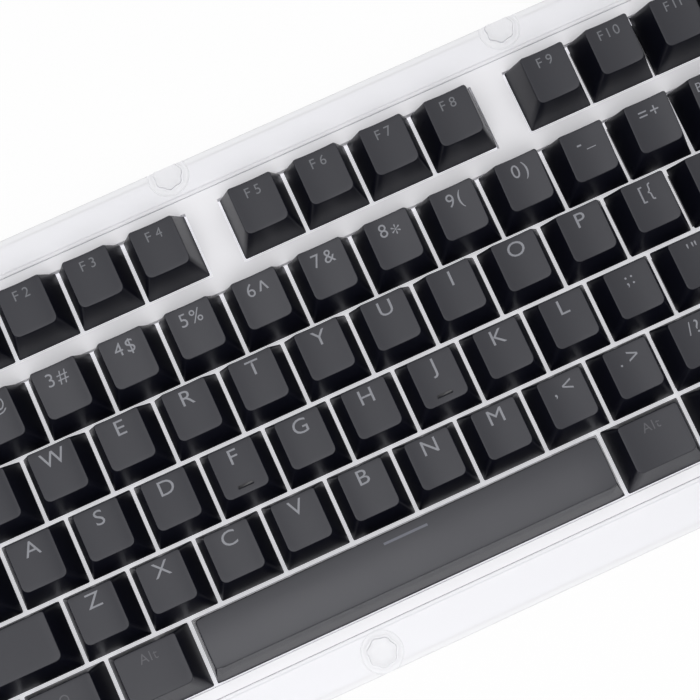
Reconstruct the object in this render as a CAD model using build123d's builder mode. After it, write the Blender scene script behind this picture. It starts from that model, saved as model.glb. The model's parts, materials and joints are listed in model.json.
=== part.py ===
"""Full-size mechanical keyboard: a switch, stem and keycap for each of its 104 keys, on a plate in a case.

Millimetres. X runs to the right, Y away from the typist and Z up. The origin is under the middle of the
outline, on the surface that the keyboard stands on.
"""

from build123d import *
from math import atan2, cos, degrees, sin
import copy
import os

# ---- key layout -----------------------------------------------------------------------------------
unit = 19.05  # pitch of neighbouring keys
layout_width = 22.5  # in units, from the tab column to the number pad's last column
layout_depth = 6.25  # in units, from the space bar's row to the function row
function_row_front = 5.25  # in units
navigation_left = 15.25  # in units
number_pad_left = 18.5  # in units
key_travel = 4.0
travel_clearance = 0.4  # left between the pieces that meet when a key is pressed right down

# ---- keycaps --------------------------------------------------------------------------------------
cap_gap = 1.05  # between the skirts of neighbouring caps
cap_side_taper = 2.95  # each side, from the skirt to the top
cap_wall = 1.3
cap_top_thickness = 1.5
cap_skirt_corner = 0.9
cap_top_corner = 1.5
cap_dish_depth = 0.75
cap_post_radius = 2.75
space_bar_front_setback = 3.6
space_bar_rear_setback = 1.4
space_bar_front_height = 7.6
space_bar_crown_height = 9.9
space_bar_rear_height = 8.8
space_bar_end_taper = 2.6
homing_bar_length = 4.0
homing_bar_width = 0.6
homing_bar_height = 0.45

# front height, rear height, front setback and rear setback of the top, for each sculpted row
row_profiles = {
    "high": (10.0, 12.1, 3.8, 1.1),
    "upper": (8.9, 9.3, 3.85, 0.85),
    "home": (8.9, 9.0, 3.85, 1.0),
    "lower": (9.5, 9.7, 3.95, 0.95),
}

# ---- switches, measured up or down from the top of the plate --------------------------------------
switch_body = 14.0  # square body that the plate's cut-out holds
switch_flange = 15.6
switch_flange_thickness = 1.0
switch_below_plate = 5.0
switch_top_height = 6.6
switch_top_wall = 1.0
switch_side_wall = 1.2
switch_floor = 1.1
upper_base_size = 14.6
upper_top_x = 10.0
upper_top_y = 9.2
cavity_x = 9.0
cavity_y = 8.4
locating_pin_radius = 2.0
locating_pin_length = 3.0
spring_post_radius = 1.3
spring_post_height = 2.4
spring_outer_radius = 2.1
spring_wall = 0.35
spring_solid_length = 1.0  # room above the spring post when a key is pressed right down
stem_x = 6.9
stem_y = 6.2
stem_clearance = 0.3  # to the upper housing, at rest and all round
stem_top = 10.2
cross_length = 4.1
cross_thickness = 1.2
spring_bore_radius = 2.35
contact_thickness = 0.3
contact_width = 3.0
contact_top = 0.8
contact_pin_width = 1.2
contact_pin_length = 3.3
lamp_size = (3.0, 1.4, 0.9)
lamp_notch = (5.0, 1.8)
diode_size = (2.6, 1.4, 1.1)
fit_clearance = 0.05  # each side, between pieces that locate each other

# ---- stabilisers ----------------------------------------------------------------------------------
stabiliser_x = 6.0
stabiliser_y = 12.0
stabiliser_floor = 0.4
stabiliser_stem_x = 3.6
stabiliser_stem_y = 4.4
stabiliser_stem_gap = 0.55
wire_radius = 0.8
wire_below_plate = 3.2
wire_bend = 1.2
short_stabiliser = 11.94  # from the key's middle, on keys of two units and a little more
long_stabiliser = 50.0  # on the space bar

# ---- case, measured up from the table -------------------------------------------------------------
rubber_thickness = 1.5
case_floor = 2.4
case_wall = 2.4
foam_thickness = 3.0
plate_top = 16.0
plate_thickness = 1.5
board_thickness = 1.6
cover_thickness = 2.0
rim_thickness = 1.2
rim_front = 15.3  # from the front of the space bar's row to the rim's outer edge
rim_rear = 13.9
rim_side = 14.6
rim_front_step = 3.0  # from the keys to the rim's inner edge
rim_rear_step = 3.9
rim_side_step = 3.5
rim_bead_width = 1.2
rim_bead_height = 0.5
rim_lip = 4.7
rim_lip_thickness = 1.2
rim_corner = 8.0
case_gap = 0.4  # between the rim's lip and the case wall
board_gap = 0.6  # between the plate or board and the case wall
tongue_depth = 1.8
tongue_thickness = 1.2

# ---- fasteners and small pieces -------------------------------------------------------------------
stud_pitch = 100.0
stud_columns = (-2, -1, 0, 1, 2)
stud_front_inset = 5.5  # from the rim's front edge
stud_rear_inset = 2.9  # from the rim's rear edge, which trims the rear studs
stud_ring_radius = 5.5
stud_ring_height = 0.5
stud_disc_radius = 3.7
stud_disc_height = 0.7
stud_lobes = 8
stud_pin_radius = 0.9
screw_columns = (-11.0, -5.5, 0.0, 5.5, 11.0)  # in units from the middle
screw_head_radius = 1.6
screw_head_height = 1.0
screw_shank_radius = 0.95
screw_length = 7.0
boss_radius = 3.0
boss_clearance = 0.3
pad_length = 42.0
pad_width = 8.0
pad_inset = 22.0
foot_width = 34.0
foot_length = 20.0
foot_thickness = 3.2
foot_gap = 0.5
foot_pin_radius = 1.2
foot_pin_length = 1.6
foot_pin_clearance = 0.08
foot_ear = 2.2
foot_finger_room = 6.0
foot_inset_x = 78.0
foot_inset_y = 14.0
pocket_roof = 1.2
usb_width = 8.94
usb_height = 3.26
usb_depth = 7.35
usb_wall = 0.35
usb_recess = 0.8
usb_clearance = 0.35
usb_column = -2.75  # in units from the middle
controller_size = (9.0, 9.0, 1.2)
lock_light_radius = 1.0
lock_light_spacing = 12.0

# ---- levels and outlines that follow --------------------------------------------------------------
keys_width = layout_width * unit
keys_depth = layout_depth * unit
rim_width = keys_width + 2 * rim_side
rim_depth = rim_front + keys_depth + rim_rear
stud_front = rim_front - stud_front_inset
stud_rear = rim_rear - stud_rear_inset
# where the front left corner of the key field lies
key_left = -keys_width / 2
key_front = (rim_front - rim_rear - keys_depth) / 2
rim_middle_y = key_front + (keys_depth + rim_rear - rim_front) / 2

# heights above the plate, at rest, that leave each key its travel
skirt_height = switch_flange_thickness + key_travel + travel_clearance
cavity_bottom = switch_floor - switch_below_plate
stem_bottom = cavity_bottom + key_travel + travel_clearance
stem_shoulder = switch_top_height - switch_top_wall - stem_clearance
spring_bore_top = cavity_bottom + spring_post_height + key_travel + spring_solid_length
post_bottom = switch_top_height + stem_clearance
stabiliser_above_plate = post_bottom - key_travel - travel_clearance
stabiliser_stem_bottom = stabiliser_floor - switch_below_plate + key_travel + travel_clearance

skirt_level = plate_top + skirt_height
cover_top = skirt_level  # of the raised part between the key groups
ledge_top = cover_top - rim_thickness
cover_bottom = ledge_top - cover_thickness
board_top = plate_top - switch_below_plate
floor_top = rubber_thickness + case_floor
case_inset = rim_lip_thickness + case_gap
case_width = rim_width - 2 * case_inset
case_depth = rim_depth - 2 * case_inset
inner_width = case_width - 2 * case_wall
inner_depth = case_depth - 2 * case_wall
board_width = inner_width - 2 * board_gap
board_depth = inner_depth - 2 * board_gap
case_corner = rim_corner - case_inset
inner_corner = case_corner - case_wall
step_width = keys_width + 2 * rim_side_step
step_depth = keys_depth + rim_front_step + rim_rear_step
step_middle_y = key_front + (keys_depth + rim_rear_step - rim_front_step) / 2
inner_front_y = rim_middle_y - inner_depth / 2
inner_rear_y = rim_middle_y + inner_depth / 2
key_rear = key_front + keys_depth
screw_rows = (
    (inner_front_y + key_front) / 2,
    key_front + (5 + function_row_front) / 2 * unit,
    (inner_rear_y + key_rear) / 2,
)
screw_places = [(column * unit, y) for column in screw_columns for y in screw_rows]
stud_rows = (key_front - stud_front, key_rear + stud_rear)
stud_places = [(column * stud_pitch, y) for column in stud_columns for y in stud_rows]


# ---- the keys: where each one is, how wide it is and what profile its row has ---------------------
def row_of_keys(names, left, front, profile, widths=None):
    """Keys side by side from a left edge, in units: (name, middle x, middle y, width, depth, profile)."""
    keys = []
    for index, name in enumerate(names):
        width = widths[index] if widths else 1.0
        keys.append((name, left + width / 2, front + 0.5, width, 1.0, profile))
        left += width
    return keys


left_modifiers = (1.25, 1.25, 1.25)
layout = []
layout += row_of_keys(["left_ctrl", "left_super", "left_alt"], 0, 0, "lower", left_modifiers)
layout += row_of_keys(["space"], 3.75, 0, "lower", [6.25])
layout += row_of_keys(["right_alt", "right_super", "menu", "right_ctrl"], 10, 0, "lower", [1.25] * 4)
layout += row_of_keys(["left_shift"], 0, 1, "lower", [2.25])
layout += row_of_keys("zxcvbnm", 2.25, 1, "lower")
layout += row_of_keys(["comma", "period", "slash"], 9.25, 1, "lower")
layout += row_of_keys(["right_shift"], 12.25, 1, "lower", [2.75])
layout += row_of_keys(["caps_lock"], 0, 2, "home", [1.75])
layout += row_of_keys("asdfghjkl", 1.75, 2, "home")
layout += row_of_keys(["semicolon", "quote"], 10.75, 2, "home")
layout += row_of_keys(["enter"], 12.75, 2, "home", [2.25])
layout += row_of_keys(["tab"], 0, 3, "upper", [1.5])
layout += row_of_keys("qwertyuiop", 1.5, 3, "upper")
layout += row_of_keys(["left_bracket", "right_bracket"], 11.5, 3, "upper")
layout += row_of_keys(["backslash"], 13.5, 3, "upper", [1.5])
layout += row_of_keys(["grave", *"1234567890", "minus", "equals"], 0, 4, "high")
layout += row_of_keys(["backspace"], 13, 4, "high", [2.0])
layout += row_of_keys(["escape"], 0, function_row_front, "high")
layout += row_of_keys(["f1", "f2", "f3", "f4"], 2, function_row_front, "high")
layout += row_of_keys(["f5", "f6", "f7", "f8"], 6.5, function_row_front, "high")
layout += row_of_keys(["f9", "f10", "f11", "f12"], 11, function_row_front, "high")
layout += row_of_keys(["print", "scroll_lock", "pause"], navigation_left, function_row_front, "high")
layout += row_of_keys(["insert", "home", "page_up"], navigation_left, 4, "high")
layout += row_of_keys(["delete", "end", "page_down"], navigation_left, 3, "upper")
layout += row_of_keys(["up"], navigation_left + 1, 1, "lower")
layout += row_of_keys(["left", "down", "right"], navigation_left, 0, "lower")
layout += row_of_keys(["num_lock", "divide", "multiply", "subtract"], number_pad_left, 4, "high")
layout += row_of_keys(["num_7", "num_8", "num_9"], number_pad_left, 3, "upper")
layout += row_of_keys(["num_4", "num_5", "num_6"], number_pad_left, 2, "home")
layout += row_of_keys(["num_1", "num_2", "num_3"], number_pad_left, 1, "lower")
layout += row_of_keys(["num_0", "num_point"], number_pad_left, 0, "lower", [2.0, 1.0])
layout.append(("num_plus", number_pad_left + 3.5, 3, 1.0, 2.0, "upper"))
layout.append(("num_enter", number_pad_left + 3.5, 1, 1.0, 2.0, "lower"))

# the key groups that share one opening of the cover: left, front, right and rear, in units
key_fields = [
    (0, 0, 15, 5),
    (0, function_row_front, 1, layout_depth),
    (2, function_row_front, 6, layout_depth),
    (6.5, function_row_front, 10.5, layout_depth),
    (11, function_row_front, 15, layout_depth),
    (navigation_left, function_row_front, navigation_left + 3, layout_depth),
    (navigation_left, 3, navigation_left + 3, 5),
    (navigation_left, 0, navigation_left + 3, 1),
    (navigation_left + 1, 1, navigation_left + 2, 2),
    (number_pad_left, 0, number_pad_left + 4, 5),
]

# keys that move as one body with their neighbours; every other key has a body of its own
grouped_keys = {
    "keys_number_row": ["grave", *"1234567890", "minus", "equals"],
    "keys_punctuation": [
        "left_bracket", "right_bracket", "backslash", "semicolon", "quote", "comma", "period", "slash",
    ],
    "keys_left_modifiers": ["tab", "caps_lock", "left_shift", "left_ctrl", "left_super", "left_alt"],
    "keys_right_modifiers": [
        "backspace", "enter", "right_shift", "right_alt", "right_super", "menu", "right_ctrl",
    ],
    "keys_escape_to_f4": ["escape", "f1", "f2", "f3", "f4"],
    "keys_f5_to_f8": ["f5", "f6", "f7", "f8"],
    "keys_f9_to_f12": ["f9", "f10", "f11", "f12"],
    "keys_navigation": [
        "print", "scroll_lock", "pause", "insert", "home", "page_up", "delete", "end", "page_down",
    ],
    "keys_arrows": ["up", "left", "down", "right"],
    "keys_number_pad": [
        "num_lock", "divide", "multiply", "subtract", "num_7", "num_8", "num_9", "num_plus", "num_4",
        "num_5", "num_6", "num_1", "num_2", "num_3", "num_enter", "num_0", "num_point",
    ],
}


def key_place(key):
    """The middle of a key in the keyboard's own frame."""
    return key_left + key[1] * unit, key_front + key[2] * unit


def stabiliser_offset(key):
    """How far a key's two stabilisers stand from its middle, or 0 for a key without them."""
    longest = max(key[3], key[4])
    if longest < 2:
        return 0
    return long_stabiliser if longest > 6 else short_stabiliser


switch_places = [key_place(key) for key in layout]
stabilised_keys = [key for key in layout if stabiliser_offset(key)]
# each stabiliser's place, with the turn of its key: 0 across, 90 along
stabiliser_places = []
for key in stabilised_keys:
    x, y = key_place(key)
    for side in (-1, 1):
        offset = side * stabiliser_offset(key)
        if key[3] >= key[4]:
            stabiliser_places.append((x + offset, y, 0))
        else:
            stabiliser_places.append((x, y + offset, 90))


def placed(shape, x, y, z, turn=0):
    """A twin of a shape that shares its geometry, at another place."""
    twin = copy.copy(shape)
    twin.location = Location((x, y, z), (0, 0, turn))
    return twin


def write_node(shape, name):
    """Writes one node's STEP file, named after the node."""
    shape.label = name
    export_step(shape, f"parts/{name}.step")


def write_group(shapes, name):
    """Writes pieces that share a node and stay separate solids."""
    write_node(Compound(label=name, children=shapes), name)


# ---- keycaps --------------------------------------------------------------------------------------
def cap_posts(offset, along_y):
    """Where a cap's posts stand: in the middle, and over each stabiliser."""
    if not offset:
        return [(0, 0)]
    return [(0, side * offset) if along_y else (side * offset, 0) for side in (-1, 0, 1)]


def cross_section(level, gap, places):
    """The crosses of stems, or with a gap of the sockets that they fit, on a level plane."""
    with BuildSketch(Plane.XY.offset(level)) as crosses:
        with Locations(*places):
            Rectangle(cross_length + 2 * gap, cross_thickness + 2 * gap)
            Rectangle(cross_thickness + 2 * gap, cross_length + 2 * gap)
    return crosses.sketch


def make_cap(width, depth, profile, offset=0, homing=False):
    """A dished cap with its skirt on the XY plane and its post over the switch."""
    front_height, rear_height, front_setback, rear_setback = row_profiles[profile]
    base_x = width * unit - cap_gap
    base_y = depth * unit - cap_gap
    top_x = base_x - 2 * cap_side_taper
    top_y = base_y - front_setback - rear_setback
    height = (front_height + rear_height) / 2
    tilt = atan2(rear_height - front_height, top_y)
    top_middle_y = (front_setback - rear_setback) / 2
    normal = (0, -sin(tilt), cos(tilt))
    top_plane = Plane(origin=(0, top_middle_y, height), x_dir=(1, 0, 0), z_dir=normal)
    hollow_drop = cap_dish_depth + cap_top_thickness
    share = hollow_drop / height
    hollow_origin = (0, top_middle_y * (1 - share), height - hollow_drop)
    hollow_plane = Plane(origin=hollow_origin, x_dir=(1, 0, 0), z_dir=normal)
    hollow_x = top_x - 2 * cap_wall + 2 * cap_side_taper * share
    hollow_y = top_y - 2 * cap_wall + (front_setback + rear_setback) * share
    dish_radius = ((top_x / 2) ** 2 + cap_dish_depth**2) / (2 * cap_dish_depth)
    posts = cap_posts(offset, depth > width)
    post_foot = post_bottom - skirt_height
    with BuildPart() as cap:
        with BuildSketch():
            RectangleRounded(base_x, base_y, cap_skirt_corner)
        with BuildSketch(top_plane):
            RectangleRounded(top_x, top_y, cap_top_corner)
        loft()
        with BuildSketch():
            Rectangle(base_x - 2 * cap_wall, base_y - 2 * cap_wall)
        with BuildSketch(hollow_plane):
            Rectangle(hollow_x, hollow_y)
        loft(mode=Mode.SUBTRACT)
        with BuildSketch(Plane.XY.offset(post_foot)):
            with Locations(*posts):
                Circle(cap_post_radius)
        extrude(amount=height - cap_dish_depth - cap_top_thickness / 2 - post_foot)
        sockets = cross_section(post_foot, fit_clearance, posts)
        extrude(sockets, amount=stem_top - post_bottom, mode=Mode.SUBTRACT)
        with Locations(top_plane.location * Location((0, 0, dish_radius - cap_dish_depth), (90, 0, 0))):
            Cylinder(dish_radius, 2 * base_y, mode=Mode.SUBTRACT)
        if homing:
            with Locations(top_plane.location * Location((0, 2 - top_y / 2, -cap_dish_depth))):
                Box(homing_bar_length, homing_bar_width, 2 * homing_bar_height)
    return cap.part


def make_space_bar(width):
    """The long cap: its front face slopes, its top is crowned from front to rear and its ends are steep."""
    half_x = (width * unit - cap_gap) / 2
    half_y = (unit - cap_gap) / 2
    front_top = space_bar_front_setback - half_y
    rear_top = half_y - space_bar_rear_setback
    post_foot = post_bottom - skirt_height
    posts = cap_posts(long_stabiliser, False)
    hollow_half_x = half_x - cap_wall
    with BuildPart() as cap:
        with BuildSketch(Plane.YZ):
            with BuildLine():
                Line((-half_y, 0), (front_top, space_bar_front_height))
                ThreePointArc(
                    (front_top, space_bar_front_height),
                    ((front_top + rear_top) / 2, space_bar_crown_height),
                    (rear_top, space_bar_rear_height),
                )
                Line((rear_top, space_bar_rear_height), (half_y, 0))
                Line((half_y, 0), (-half_y, 0))
            make_face()
        extrude(amount=half_x, both=True)
        with BuildSketch(Plane.YZ):
            with BuildLine():
                Polyline(
                    (cap_wall - half_y, 0),
                    (front_top + cap_wall / 2, space_bar_front_height - cap_wall),
                    (rear_top - cap_wall, space_bar_rear_height - cap_top_thickness),
                    (half_y - cap_wall, 0),
                    close=True,
                )
            make_face()
        extrude(amount=hollow_half_x - space_bar_end_taper, both=True, mode=Mode.SUBTRACT)
        with BuildSketch():
            Rectangle(2 * half_x, 4 * half_y)
        with BuildSketch(Plane.XY.offset(space_bar_crown_height + 1)):
            Rectangle(2 * (half_x - space_bar_end_taper), 4 * half_y)
        loft(mode=Mode.INTERSECT)
        with BuildSketch(Plane.XY.offset(post_foot)):
            with Locations(*posts):
                Circle(cap_post_radius)
        extrude(amount=space_bar_rear_height - cap_top_thickness / 2 - post_foot)
        sockets = cross_section(post_foot, fit_clearance, posts)
        extrude(sockets, amount=stem_top - post_bottom, mode=Mode.SUBTRACT)
    return cap.part


# ---- one switch, with its own zero at the top of the plate ----------------------------------------
with BuildPart() as stem:
    with BuildSketch(Plane.XY.offset(stem_bottom)):
        Rectangle(stem_x, stem_y)
    extrude(amount=stem_shoulder - stem_bottom)
    extrude(cross_section(stem_shoulder, 0, [(0, 0)]), amount=stem_top - stem_shoulder)
    with BuildSketch(Plane.XY.offset(stem_bottom)):
        Circle(spring_bore_radius)
    extrude(amount=spring_bore_top - stem_bottom, mode=Mode.SUBTRACT)

with BuildPart() as stabiliser_stem:
    with BuildSketch(Plane.XY.offset(stabiliser_stem_bottom)):
        Rectangle(stabiliser_stem_x, stabiliser_stem_y)
    extrude(amount=stem_shoulder - stabiliser_stem_bottom)
    extrude(cross_section(stem_shoulder, 0, [(0, 0)]), amount=stem_top - stem_shoulder)

contact_x = cavity_x / 2 - contact_thickness / 2
contact_slot = (contact_thickness + 2 * fit_clearance, contact_pin_width + 2 * fit_clearance)
with BuildPart() as lower_housing:
    with BuildSketch(Plane.XY.offset(-switch_below_plate)):
        Rectangle(switch_body, switch_body)
    extrude(amount=switch_below_plate)
    with BuildSketch():
        Rectangle(switch_flange, switch_flange)
    extrude(amount=switch_flange_thickness)
    with BuildSketch(Plane.XY.offset(cavity_bottom)):
        Rectangle(cavity_x, cavity_y)
    extrude(amount=switch_flange_thickness - cavity_bottom, mode=Mode.SUBTRACT)
    with BuildSketch(Plane.XY.offset(cavity_bottom)):
        Circle(spring_post_radius)
    extrude(amount=spring_post_height)
    with BuildSketch(Plane.XY.offset(-switch_below_plate)):
        Circle(locating_pin_radius)
    extrude(amount=-locating_pin_length)
    with BuildSketch(Plane.XY.offset(-switch_below_plate)):
        with Locations((-contact_x, 0), (contact_x, 0)):
            Rectangle(*contact_slot)
        with Locations((0, (switch_body - lamp_notch[1]) / 2)):
            Rectangle(*lamp_notch)
    extrude(amount=switch_floor, mode=Mode.SUBTRACT)

with BuildPart() as upper_housing:
    with BuildSketch(Plane.XY.offset(switch_flange_thickness)):
        Rectangle(upper_base_size, upper_base_size)
    with BuildSketch(Plane.XY.offset(switch_top_height)):
        Rectangle(upper_top_x, upper_top_y)
    loft()
    with BuildSketch(Plane.XY.offset(switch_flange_thickness)):
        Rectangle(upper_base_size - 2 * switch_side_wall, upper_base_size - 2 * switch_side_wall)
    with BuildSketch(Plane.XY.offset(switch_top_height - switch_top_wall)):
        Rectangle(upper_top_x - 2 * switch_side_wall, upper_top_y - 2 * switch_side_wall)
    loft(mode=Mode.SUBTRACT)
    opening = 2 * (cap_post_radius + stem_clearance)
    with BuildSketch(Plane.XY.offset(switch_top_height)):
        Rectangle(opening, opening)
    extrude(amount=-2 * switch_top_wall, mode=Mode.SUBTRACT)

with BuildPart() as coil_spring:
    with BuildSketch(Plane.XY.offset(cavity_bottom)):
        Circle(spring_outer_radius)
        Circle(spring_outer_radius - spring_wall, mode=Mode.SUBTRACT)
    extrude(amount=spring_bore_top - cavity_bottom)

with BuildPart() as contact:
    with BuildSketch(Plane.XY.offset(cavity_bottom)):
        Rectangle(contact_thickness, contact_width)
    extrude(amount=contact_top - cavity_bottom)
    with BuildSketch(Plane.XY.offset(cavity_bottom)):
        Rectangle(contact_thickness, contact_pin_width)
    extrude(amount=-(switch_floor + contact_pin_length))

with BuildPart() as backlight_lamp:
    with BuildSketch(Plane.XY.offset(-switch_below_plate)):
        with Locations((0, (switch_body - lamp_notch[1]) / 2)):
            Rectangle(lamp_size[0], lamp_size[1])
    extrude(amount=lamp_size[2])

with BuildPart() as diode:
    with BuildSketch(Plane.XY.offset(-switch_below_plate - board_thickness)):
        with Locations((0, -switch_body / 2)):
            Rectangle(diode_size[0], diode_size[1])
    extrude(amount=-diode_size[2])

# ---- one stabiliser -------------------------------------------------------------------------------
with BuildPart() as stabiliser_housing:
    with BuildSketch(Plane.XY.offset(-switch_below_plate)):
        Rectangle(stabiliser_x, stabiliser_y)
    extrude(amount=switch_below_plate + stabiliser_above_plate)
    with BuildSketch(Plane.XY.offset(stabiliser_floor - switch_below_plate)):
        Rectangle(stabiliser_stem_x + 2 * stabiliser_stem_gap, stabiliser_stem_y + 2 * stabiliser_stem_gap)
    extrude(amount=switch_below_plate + stabiliser_above_plate, mode=Mode.SUBTRACT)


def make_wire(offset):
    """The bent wire that ties a key's two stabilisers, in front of the switch and under the plate."""
    front = -(switch_body / 2 + wire_radius + 2 * stem_clearance)
    level = -wire_below_plate
    with BuildPart() as wire:
        with BuildLine():
            FilletPolyline(
                (-offset, -stabiliser_y / 2, level),
                (-offset, front, level),
                (offset, front, level),
                (offset, -stabiliser_y / 2, level),
                radius=wire_bend,
            )
        with BuildSketch(Plane(origin=(-offset, -stabiliser_y / 2, level), z_dir=(0, -1, 0))):
            Circle(wire_radius)
        sweep()
    return wire.part


# ---- plate, board and foam ------------------------------------------------------------------------
switch_cutout = switch_body + 2 * fit_clearance
stabiliser_cutout = (stabiliser_x + 2 * fit_clearance, stabiliser_y + 2 * fit_clearance)
with BuildPart() as switch_plate:
    with BuildSketch(Plane.XY.offset(plate_top)):
        with Locations((0, rim_middle_y)):
            RectangleRounded(board_width, board_depth, inner_corner - board_gap)
        with Locations(*switch_places):
            Rectangle(switch_cutout, switch_cutout, mode=Mode.SUBTRACT)
        for x, y, turn in stabiliser_places:
            with Locations(Location((x, y, 0), (0, 0, turn))):
                Rectangle(*stabiliser_cutout, mode=Mode.SUBTRACT)
        with Locations(*screw_places):
            Circle(screw_shank_radius + fit_clearance, mode=Mode.SUBTRACT)
    extrude(amount=-plate_thickness)

with BuildPart() as circuit_board:
    with BuildSketch(Plane.XY.offset(board_top)):
        with Locations((0, rim_middle_y)):
            RectangleRounded(board_width, board_depth, inner_corner - board_gap)
        with Locations(*switch_places):
            Circle(locating_pin_radius + fit_clearance, mode=Mode.SUBTRACT)
        with Locations(*[(x + side * contact_x, y) for x, y in switch_places for side in (-1, 1)]):
            Circle(contact_pin_width / 2 + 2 * fit_clearance, mode=Mode.SUBTRACT)
        with Locations(*screw_places):
            Circle(boss_radius + boss_clearance, mode=Mode.SUBTRACT)
    extrude(amount=-board_thickness)

foot_reach = foot_length + foot_finger_room  # from the hinge pin to the pocket's far end
hinge_room = foot_thickness / 2 + foot_gap  # from the hinge pin to the pocket's near end
pocket_width = foot_width + 2 * foot_gap
pin_reach = pocket_width / 2 + foot_pin_length  # from the foot's middle to the end of each hinge pin
pocket_depth = foot_reach + hinge_room
foot_pin_y = key_rear - foot_inset_y
foot_pin_z = rubber_thickness + foot_thickness / 2 + foot_gap / 2
pocket_top = foot_pin_z + hinge_room
pocket_middle_y = foot_pin_y + (hinge_room - foot_reach) / 2
foot_places = [(side * (rim_width / 2 - foot_inset_x), foot_pin_y) for side in (-1, 1)]
pocket_places = [(x, pocket_middle_y) for x, _ in foot_places]
block_size = (pocket_width + 2 * foot_ear, pocket_depth + 2 * foot_ear)

with BuildPart() as case_foam:
    with BuildSketch(Plane.XY.offset(floor_top)):
        with Locations((0, rim_middle_y)):
            RectangleRounded(board_width, board_depth, inner_corner - board_gap)
        with Locations(*screw_places):
            Circle(boss_radius + boss_clearance, mode=Mode.SUBTRACT)
        with Locations(*pocket_places):
            Rectangle(*[size + 2 * boss_clearance for size in block_size], mode=Mode.SUBTRACT)
    extrude(amount=foam_thickness)

# ---- case -----------------------------------------------------------------------------------------
usb_x = usb_column * unit
usb_middle_z = board_top + usb_height / 2
usb_mouth_y = rim_middle_y + case_depth / 2 - usb_recess
with BuildPart() as bottom_case:
    with BuildSketch(Plane.XY.offset(rubber_thickness)):
        with Locations((0, rim_middle_y)):
            RectangleRounded(case_width, case_depth, case_corner)
    extrude(amount=cover_bottom - rubber_thickness)
    chamfer(bottom_case.edges().group_by(Axis.Z)[0], length=case_floor / 2)
    with BuildSketch(Plane.XY.offset(floor_top)):
        with Locations((0, rim_middle_y)):
            RectangleRounded(inner_width, inner_depth, inner_corner)
    extrude(amount=cover_bottom - floor_top, mode=Mode.SUBTRACT)
    with BuildSketch(Plane.XY.offset(floor_top)):
        with Locations(*screw_places):
            Circle(boss_radius)
    extrude(amount=plate_top - plate_thickness - floor_top)
    with BuildSketch(Plane.XY.offset(plate_top - plate_thickness)):
        with Locations(*screw_places):
            Circle(screw_shank_radius + fit_clearance)
    extrude(amount=-screw_length, mode=Mode.SUBTRACT)
    with BuildSketch(Plane.XY.offset(rubber_thickness)):
        with Locations(*pocket_places):
            Rectangle(*block_size)
    extrude(amount=pocket_top + pocket_roof - rubber_thickness)
    with BuildSketch(Plane.XY.offset(rubber_thickness)):
        with Locations(*pocket_places):
            Rectangle(pocket_width, pocket_depth)
    extrude(amount=pocket_top - rubber_thickness, mode=Mode.SUBTRACT)
    for x, _ in foot_places:
        with BuildSketch(Plane.YZ.offset(x)):
            with Locations((foot_pin_y, foot_pin_z)):
                Circle(foot_pin_radius + foot_pin_clearance)
    extrude(amount=pin_reach + foot_pin_clearance, both=True, mode=Mode.SUBTRACT)
    with BuildSketch(Plane.XZ.offset(-usb_mouth_y - 2 * usb_recess)):
        with Locations((usb_x, usb_middle_z)):
            RectangleRounded(
                usb_width + 2 * usb_clearance,
                usb_height + 2 * usb_clearance,
                usb_height / 2,
            )
    extrude(amount=case_wall + 2 * usb_recess, mode=Mode.SUBTRACT)

with BuildPart() as top_cover:
    with BuildSketch(Plane.XY.offset(cover_bottom)):
        with Locations((0, rim_middle_y)):
            RectangleRounded(case_width, case_depth, case_corner)
    extrude(amount=cover_thickness)
    with BuildSketch(Plane.XY.offset(ledge_top)):
        with Locations((0, step_middle_y)):
            Rectangle(step_width - 2 * fit_clearance, step_depth - 2 * fit_clearance)
    extrude(amount=cover_top - ledge_top)
    with BuildSketch(Plane.XY.offset(cover_bottom)):
        with Locations((0, rim_middle_y)):
            gap = 2 * fit_clearance
            RectangleRounded(inner_width - 2 * gap, inner_depth - 2 * gap, inner_corner - gap)
            inset = 2 * (gap + tongue_thickness)
            Rectangle(inner_width - inset, inner_depth - inset, mode=Mode.SUBTRACT)
    extrude(amount=-tongue_depth)
    with BuildSketch(Plane.XY.offset(cover_bottom)):
        for left, front, right, rear in key_fields:
            middle = (key_left + (left + right) / 2 * unit, key_front + (front + rear) / 2 * unit)
            with Locations(middle):
                Rectangle((right - left) * unit, (rear - front) * unit)
    extrude(amount=cover_top - cover_bottom, mode=Mode.SUBTRACT)
    lock_x = key_left + (number_pad_left + 2) * unit
    lock_light_places = [(lock_x + step * lock_light_spacing, key_rear - unit / 2) for step in (-1, 0, 1)]
    with BuildSketch(Plane.XY.offset(cover_bottom)):
        with Locations(*stud_places):
            Circle(stud_pin_radius + fit_clearance)
        with Locations(*lock_light_places):
            Circle(lock_light_radius + fit_clearance)
    extrude(amount=cover_top - cover_bottom, mode=Mode.SUBTRACT)

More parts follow.
